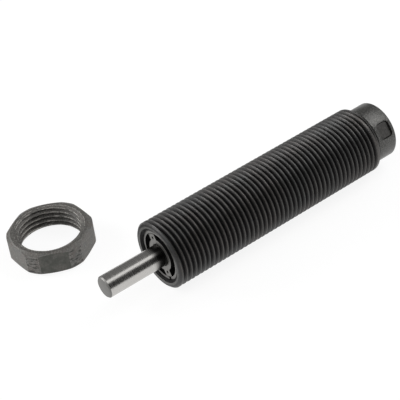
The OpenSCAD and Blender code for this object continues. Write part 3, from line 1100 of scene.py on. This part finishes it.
    def build(self) -> Piece:
        """Turns the tube and cuts its thread and flats.

        Returns:
            The tube.
        """
        tube = turned("threaded_body", self.outline(), Section.RING, phase=1.0)
        tool = self.thread.cutter("thread_tool", self.groove_at, self.turns)
        self.lift_ends(tool)
        join_volumes(tube, tool)
        half = self.flats_af / 2
        for side in (180.0 - self.flat_turn, -self.flat_turn):
            trench = self.pocket("trench_tool", 0.0, half - self.trench_depth, side)
            island = self.pocket("island_tool", self.trench_w, half - 2 * self.trench_depth, side)
            join_volumes(trench, island)
            join_volumes(tube, trench)
            join_volumes(tube, self.pocket("flat_tool", 0.0, half, side))
        smooth(tube, 32)
        dress(tube, Stock.BLACK_OXIDE)
        # Painted shade in the bore and in the flats' trenches.
        paint_recess_shade(tube, lambda at, _: self.in_painted_shade(at))
        mount(tube, "root", "outer_tube")
        return tube


@dataclass
class FrontClosure:
    """The open retaining ring and the end cap with its lugs, pin holes and curved windows."""

    ring_inner_r: float = 8.3
    ring_gap: float = 1.1
    ring_edge: float = 0.1
    hub_r: float = 5.9
    window_r: float = 8.25
    window_depth: float = 3.4
    lug_w: float = 3.6
    lug_turn: float = 62.0
    pin_hole_r: float = 0.55
    pin_hole_at: float = 6.5
    pin_hole_depth: float = 1.6
    cap_hole_r: float = 4.2
    wiper_seat_r: float = 5.25
    lip: float = 0.8
    cap_edge: float = 0.1
    # Faces deeper than this behind the front face get painted shade.
    unshaded_depth: float = 0.25

    def turn_points(self, points: Sequence[Pair]) -> List[Pair]:
        """Returns points of a drawing turned by the lugs' angle."""
        c, s = math.cos(math.radians(self.lug_turn)), math.sin(math.radians(self.lug_turn))
        return [(x * c - y * s, x * s + y * c) for x, y in points]

    def build_ring(self) -> Piece:
        """Cuts the retaining ring, open opposite the upper lug, with round ends.

        Returns:
            The ring.
        """
        low, high = corner_mm("retaining_ring")
        outer_r = high.z
        mid_r = (outer_r + self.ring_inner_r) / 2
        end_r = (outer_r - self.ring_inner_r) / 2
        half = math.degrees(math.asin((self.ring_gap / 2 + end_r) / mid_r))
        a, b = 180 + half, 540 - half
        ends = []
        for angle in (b, a):
            centre = (mid_r * math.cos(math.radians(angle)), mid_r * math.sin(math.radians(angle)))
            first = angle if angle == b else angle + 180
            ends.append(arc(end_r, first, first + 180, 10, centre)[1:-1])
        points = (
            arc(outer_r, a, b, 110) + ends[0] + arc(self.ring_inner_r, b, a, 110) + ends[1]
        )
        ring = plate("retaining_clip", self.turn_points(points), low.x, high.x - low.x)
        ease_edges(ring, self.ring_edge, 50)
        smooth(ring)
        dress(ring, Stock.SPRING_STEEL)
        # Painted shade on the ring's inner wall.
        inside = self.ring_inner_r + 0.05
        paint_recess_shade(ring, lambda at, way: at.yz.length < inside and abs(way.x) < 0.3)
        mount(ring, "root", "retaining_ring")
        return ring

    def build_cap(self) -> Piece:
        """Turns the end cap and cuts its windows and pin holes.

        Returns:
            The cap.
        """
        low, high = corner_mm("gland_cap")
        _, ring_high = corner_mm("retaining_ring")
        lug_end_r = self.ring_inner_r - 0.1
        face, rear, fit_r = low.x, high.x, high.z
        cap = turned(
            "end_cap",
            [
                (self.cap_hole_r, face),
                (lug_end_r, face),
                (lug_end_r, ring_high.x),
                (fit_r, ring_high.x),
                (fit_r, rear),
                (self.wiper_seat_r, rear),
                (self.wiper_seat_r, face + self.lip),
                (self.cap_hole_r, face + self.lip),
            ],
            Section.RING,
        )
        half = self.lug_w / 2
        outer = math.degrees(math.asin(half / self.window_r))
        inner = math.degrees(math.asin(half / self.hub_r))
        for side in (0, 180):
            shape = arc(self.window_r, outer + side, 180 - outer + side, 48)
            shape += arc(self.hub_r, 180 - inner + side, inner + side, 40)
            tool = plate("window_tool", self.turn_points(shape), face - 1, self.window_depth + 1)
            join_volumes(cap, tool)
        for middle in (self.pin_hole_at, -self.pin_hole_at):
            hole = arc(self.pin_hole_r, 0, 345, 23, (middle, 0.0))
            tool = plate("pin_tool", self.turn_points(hole), face - 1, self.pin_hole_depth + 1)
            join_volumes(cap, tool)
        ease_edges(cap, self.cap_edge, 50)
        smooth(cap)
        dress(cap, Stock.CAP_STEEL)
        # Painted shade on every cap face that lies behind its front face: windows, pin holes and
        # inside.
        paint_recess_shade(cap, lambda at, _: at.x > face + self.unshaded_depth)
        mount(cap, "root", "gland_cap")
        return cap


@dataclass
class PistonRod:
    """The ground and chromed rod with its chamfered tip and the stud for the piston."""

    rod_r: float = 4.0
    chamfer: float = 0.5
    edge: float = 0.05
    stud_r: float = 2.5
    stud_edge: float = 0.3

    def build(self) -> Piece:
        """Turns the rod with its tip and stud.

        Returns:
            The rod.
        """
        low, high = corner_mm("piston_rod")
        piston_low, _ = corner_mm("piston")
        tip, end, e, c = low.x, high.x, self.edge, self.chamfer
        rod = turned(
            "ground_rod",
            [
                (self.rod_r - c - e, tip),
                (self.rod_r - c + 0.6 * e, tip + 0.5 * e),
                (self.rod_r - 0.5 * e, tip + c - 0.6 * e),
                (self.rod_r, tip + c + e),
                (self.rod_r, piston_low.x),
                (self.stud_r, piston_low.x),
                (self.stud_r, end - self.stud_edge),
                (self.stud_r - self.stud_edge, end),
            ],
            Section.SOLID,
            segments=128,
        )
        smooth(rod, 25)
        dress(rod, Stock.CHROME)
        mount(rod, "rod", "piston_rod")
        return rod


@dataclass
class LockNut:
    """The loose hexagon nut: corners turned down, faces chamfered, and a tapped bore."""

    af: float = 28.9
    corner_r: float = 15.47
    chamfer: float = 0.55
    chamfer_drops: Pair = (0.42, 0.85)
    mouth_r: float = 12.75
    sink_over: Pair = (1.8, 1.0392)
    turn: float = 2.0
    edge: float = 0.14
    thread: ScrewGroove = field(
        default_factory=lambda: ScrewGroove(12.53, 1.11, 1.93, crest_ease=0.05)
    )

    def build(self) -> Piece:
        """Turns, mills, bores and taps the nut, and lays it where the solid lies.

        Returns:
            The nut.
        """
        low, high = corner_mm("lock_nut")
        centre, height = (low + high) / 2, high.z - low.z
        face_r = self.af / 2
        flat_drop, corner_drop = self.chamfer_drops
        nut = turned(
            "hexagon_lock_nut",
            [
                (face_r - self.chamfer, 0.0),
                (face_r, flat_drop),
                (self.corner_r, corner_drop),
                (self.corner_r, height - corner_drop),
                (face_r, height - flat_drop),
                (face_r - self.chamfer, height),
            ],
            Section.SOLID,
            Axis.NUT,
            144,
        )
        corner = face_r / COS_30
        across = arc(corner, 30 + self.turn, 330 + self.turn, 5)
        join_volumes(nut, plate("hexagon", across, -1, height + 2, Axis.NUT), Joining.KEEP_COMMON)
        ease_edges(nut, self.edge, 12)
        minor_r = self.thread.major_r - self.thread.depth
        sink = (self.mouth_r - minor_r) * TAN_30
        wider, beyond = self.sink_over
        bore = turned(
            "bore_tool",
            [
                (self.mouth_r + wider, -beyond),
                (minor_r, sink),
                (minor_r, height - sink),
                (self.mouth_r + wider, height + beyond),
            ],
            Section.SOLID,
            Axis.NUT,
            144,
        )
        join_volumes(nut, bore)
        turns = math.ceil(height / self.thread.pitch) + 3
        join_volumes(nut, self.tap(-2.0 * self.thread.pitch, turns))
        nut.data.transform(Matrix.Translation(Vector((centre.x, centre.y, low.z)) * MM))
        smooth(nut, 14)
        dress(nut, Stock.PHOSPHATE)
        mount(nut, "nut", "lock_nut")
        return nut

    def tap(self, start: float, turns: int) -> Piece:
        """Makes the helical ridge that cuts the nut's own thread.

        Args:
            start: The station of the ridge's middle where it starts.
            turns: The number of turns.

        Returns:
            The closed ridge.
        """
        twice = 2 * self.thread.major_r - self.thread.depth
        section = [(twice - radius, start + along) for radius, along in self.thread.outline()]
        return swept("tap_tool", section, Axis.NUT, self.thread.pitch, turns)


@dataclass
class FillPlug:
    """The set screw in the rear face, with a drilled hexagon socket."""

    plug_r: float = 2.5
    chamfer: float = 0.4
    edge: float = 0.08
    socket_af: float = 2.5
    socket_depth: float = 2.0

    def build(self) -> Piece:
        """Turns the plug and sinks its socket.

        Returns:
            The plug.
        """
        low, high = corner_mm("fill_plug")
        plug = turned(
            "fill_screw",
            [
                (self.plug_r - self.chamfer, low.x),
                (self.plug_r, low.x + self.chamfer),
                (self.plug_r, high.x - self.chamfer),
                (self.plug_r - self.chamfer, high.x),
            ],
            Section.SOLID,
            segments=48,
        )
        corner = self.socket_af / 2 / COS_30
        hexagon = arc(corner, 0, 300, 5)
        depth = self.socket_depth
        join_volumes(plug, plate("socket_tool", hexagon, high.x - depth, depth + 1))
        ease_edges(plug, self.edge, 40)
        smooth(plug)
        dress(plug, Stock.BLACK_OXIDE)
        mount(plug, "root", "fill_plug")
        return plug


@dataclass
class ReturnSpring:
    """The return spring: a closed turn at each end and even turns between.

    It is swept with an even pitch, and its turns are moved to their places.
    """

    wire_r: float = 0.6
    coil_r: float = 5.3
    working_turns: int = 9
    stroke: float = 20.0
    seat_t: float = 1.0
    even_pitch: float = 4.0
    sides: int = 12
    steps: int = 36

    def build(self) -> Piece:
        """Winds the spring between its two seats.

        Returns:
            The spring.
        """
        _, front = corner_mm("spring_retainer")
        _, rear = corner_mm("spring_seat")
        length = rear.x - self.seat_t - front.x
        run = length - 2 * self.wire_r
        end_pitch = 2.1 * self.wire_r
        pitch = (run - 2 * end_pitch) / self.working_turns
        wire = arc(self.wire_r, 0, 360 - 360 / self.sides, self.sides - 1, (self.coil_r, 0.0))
        turns = self.working_turns + 2
        spring = swept(
            "return_spring_coil", wire, Axis.CYLINDER, self.even_pitch, turns, self.steps
        )
        for vertex in spring.data.vertices:
            turn = turn_count(vertex.co, self.even_pitch)
            first, last = min(turn, 1.0), max(turn - (turns - 1), 0.0)
            along = (first + last) * end_pitch + (turn - first - last) * pitch
            shift = front.x + self.wire_r + along - turn * self.even_pitch
            vertex.co.x += shift * MM
        smooth(spring)
        dress(spring, Stock.SPRING_STEEL)
        mount(spring, "root", "return_spring")
        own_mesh(spring)
        return spring


@dataclass
class InnerParts:
    """The CAD solids that stay as they are, by their real finishes."""

    finishes: Mapping[Stock, Sequence[str]] = field(
        default_factory=lambda: {
            Stock.SEAL: ("rod_wiper", "rod_seal", "rebound_washer"),
            Stock.WAXY_PLASTIC: ("backup_ring",),
            Stock.BRONZE: ("guide_bush", "piston_ring"),
            Stock.NITRILE: ("guide_o_ring", "plug_o_ring"),
            Stock.FOAM: ("foam_sleeve",),
            Stock.CHROME: ("sealing_ball",),
            Stock.SPRING_STEEL: ("check_ring",),
            Stock.LATHE_STEEL: (
                "rod_guide",
                "pressure_tube",
                "rear_plug",
                "spring_seat",
                "piston",
                "check_spacer",
                "spring_retainer",
                "piston_nut",
            ),
        }
    )

    def build(self, nodes: Mapping[str, Piece]) -> None:
        """Dresses each solid.

        Args:
            nodes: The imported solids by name.
        """
        for stock, names in self.finishes.items():
            for name in names:
                dress(nodes[name], stock)
                LOG.info("%s: keeps its solid, in %s", name, stock.value.name)


# --- Studio ----------------------------------------------------------------------------------


# Where the lamps aim, in metres: the middle of the body, and the thread's front end.
MIDDLE = (0.05, 0.0, 0.0)
ORIGIN = (0.0, 0.0, 0.0)


class Level(Enum):
    """The level way that a softbox's first side follows."""

    ALONG = (1.0, 0.0, 0.0)
    ACROSS = (0.0, 1.0, 0.0)
    ASLANT = (1.0, 1.0, 0.0)


@dataclass
class Lamp:
    """One softbox: its place and aim in metres, its two sides, its power, and its level side."""

    name: str
    place: Triple
    aim: Triple
    size: Pair
    power: float
    level: Level = Level.ALONG

    def build(self) -> None:
        """Adds the softbox."""
        data = bpy.data.lights.new(self.name, "AREA")
        data.shape = "RECTANGLE"
        data.size, data.size_y = self.size
        data.energy = self.power
        lamp = bpy.data.objects.new(self.name, data)
        bpy.context.scene.collection.objects.link(lamp)
        back = (Vector(self.place) - Vector(self.aim)).normalized()
        level = Vector(self.level.value)
        right = (level - level.dot(back) * back).normalized()
        turn = Matrix((right, back.cross(right), back)).transposed().to_4x4()
        lamp.matrix_world = Matrix.Translation(self.place) @ turn


@dataclass
class Studio:
    """The camera, the pale floor, the softboxes and the dim room round them."""

    camera_place: Triple = (-0.18182, -0.30646, 0.29954)
    camera_right: Triple = (0.78331, -0.61252, -0.10605)
    camera_up: Triple = (0.44727, 0.43686, 0.78045)
    lens_mm: float = 124.2
    floor_side: float = 4.0
    floor_tone: str = "#6c6c6c"
    floor_glow: float = 0.89
    room_near: str = "#303030"
    room_far: str = "#7c7c7c"
    lamps: Sequence[Lamp] = field(
        default_factory=lambda: (
            Lamp("rod_softbox", (-0.05, -0.19, 0.65), (-0.05, 0.0, 0.0), (0.8, 0.34), 1.05),
            Lamp("overhead_softbox", (0.70, -0.19, 0.65), (0.70, 0.0, 0.0), (0.6, 0.34), 3.1),
            Lamp("high_softbox", (0.75, 0.15, 0.85), MIDDLE, (0.5, 0.4), 1.75, Level.ACROSS),
            Lamp("back_softbox", (-0.55, 0.60, 0.40), MIDDLE, (0.5, 0.4), 4.8, Level.ASLANT),
            Lamp("left_softbox", (-0.75, 0.05, 0.35), ORIGIN, (0.6, 0.5), 1.35, Level.ACROSS),
            Lamp("right_softbox", (0.60, -0.60, 0.25), MIDDLE, (0.5, 0.4), 0.8, Level.ASLANT),
            Lamp("far_softbox", (1.10, -0.15, 0.25), MIDDLE, (0.4, 0.4), 0.7, Level.ACROSS),
        )
    )

    def build_camera(self) -> None:
        """Places the camera from its own right, up and view directions."""
        data = bpy.data.cameras.new("camera")
        data.lens = self.lens_mm
        data.sensor_width = 36.0
        data.clip_start = 0.01
        camera = bpy.data.objects.new("camera", data)
        bpy.context.scene.collection.objects.link(camera)
        right = Vector(self.camera_right).normalized()
        back = right.cross(Vector(self.camera_up)).normalized()
        up = back.cross(right)
        turn = Matrix((right, up, back)).transposed().to_4x4()
        camera.matrix_world = Matrix.Translation(self.camera_place) @ turn
        bpy.context.scene.camera = camera

    def build_floor(self) -> None:
        """Lays a lit white table just under the lowest point of the object.

        Its own light keeps it white round the object's faint shadow.
        """
        low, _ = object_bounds()
        select_only()
        bpy.ops.mesh.primitive_plane_add(
            size=self.floor_side, location=(0.0, 0.0, low.z - 0.02 * MM)
        )
        floor = settle(bpy.context.object)
        floor.name = "floor"
        material = bpy.data.materials.new("lit_white_table")
        material.use_nodes = True
        material.node_tree.nodes.clear()
        add = partial(add_node, material.node_tree)
        paper = add("BsdfDiffuse", {"Color": linear(self.floor_tone)})
        glow = add("Emission", {"Color": linear("#ffffff"), "Strength": self.floor_glow})
        add("OutputMaterial", {"Surface": add("AddShader", {0: paper, 1: glow})})
        floor.data.materials.append(material)
        floor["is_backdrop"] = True

    def build_room(self) -> None:
        """Makes the room: dim behind the camera, brighter behind the object."""
        world = bpy.data.worlds.new("room")
        bpy.context.scene.world = world
        world.use_nodes = True
        world.node_tree.nodes.clear()
        add = partial(add_node, world.node_tree)
        way = add("TexCoord", output="Generated")
        depth = add("SeparateXYZ", {"Vector": way}, "Y")
        ends = {"Value": depth, "From Min": -0.35, "From Max": 0.3}
        share = add("MapRange", ends, interpolation_type=SOFT)
        shades = {0: share, 6: linear(self.room_near), 7: linear(self.room_far)}
        background = add("Background", {"Color": add("Mix", shades, **COLOURS)})
        add("OutputWorld", {"Surface": background})

    def build(self) -> None:
        """Builds everything that isn't part of the object."""
        self.build_camera()
        self.build_floor()
        self.build_room()
        for lamp in self.lamps:
            lamp.build()
        bpy.context.scene.view_settings.view_transform = "Standard"


def main() -> None:
    """Loads the frame, builds and dresses every piece, and sets the studio."""
    logging.basicConfig(level=logging.INFO, format="%(name)s: %(message)s", stream=sys.stdout)
    frame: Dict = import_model()
    Studio().build()
    ThreadedBody().build()
    closure = FrontClosure()
    closure.build_ring()
    closure.build_cap()
    PistonRod().build()
    LockNut().build()
    FillPlug().build()
    ReturnSpring().build()
    InnerParts().build(frame["nodes"])
    select_only()


if __name__ == "__main__":
    main()
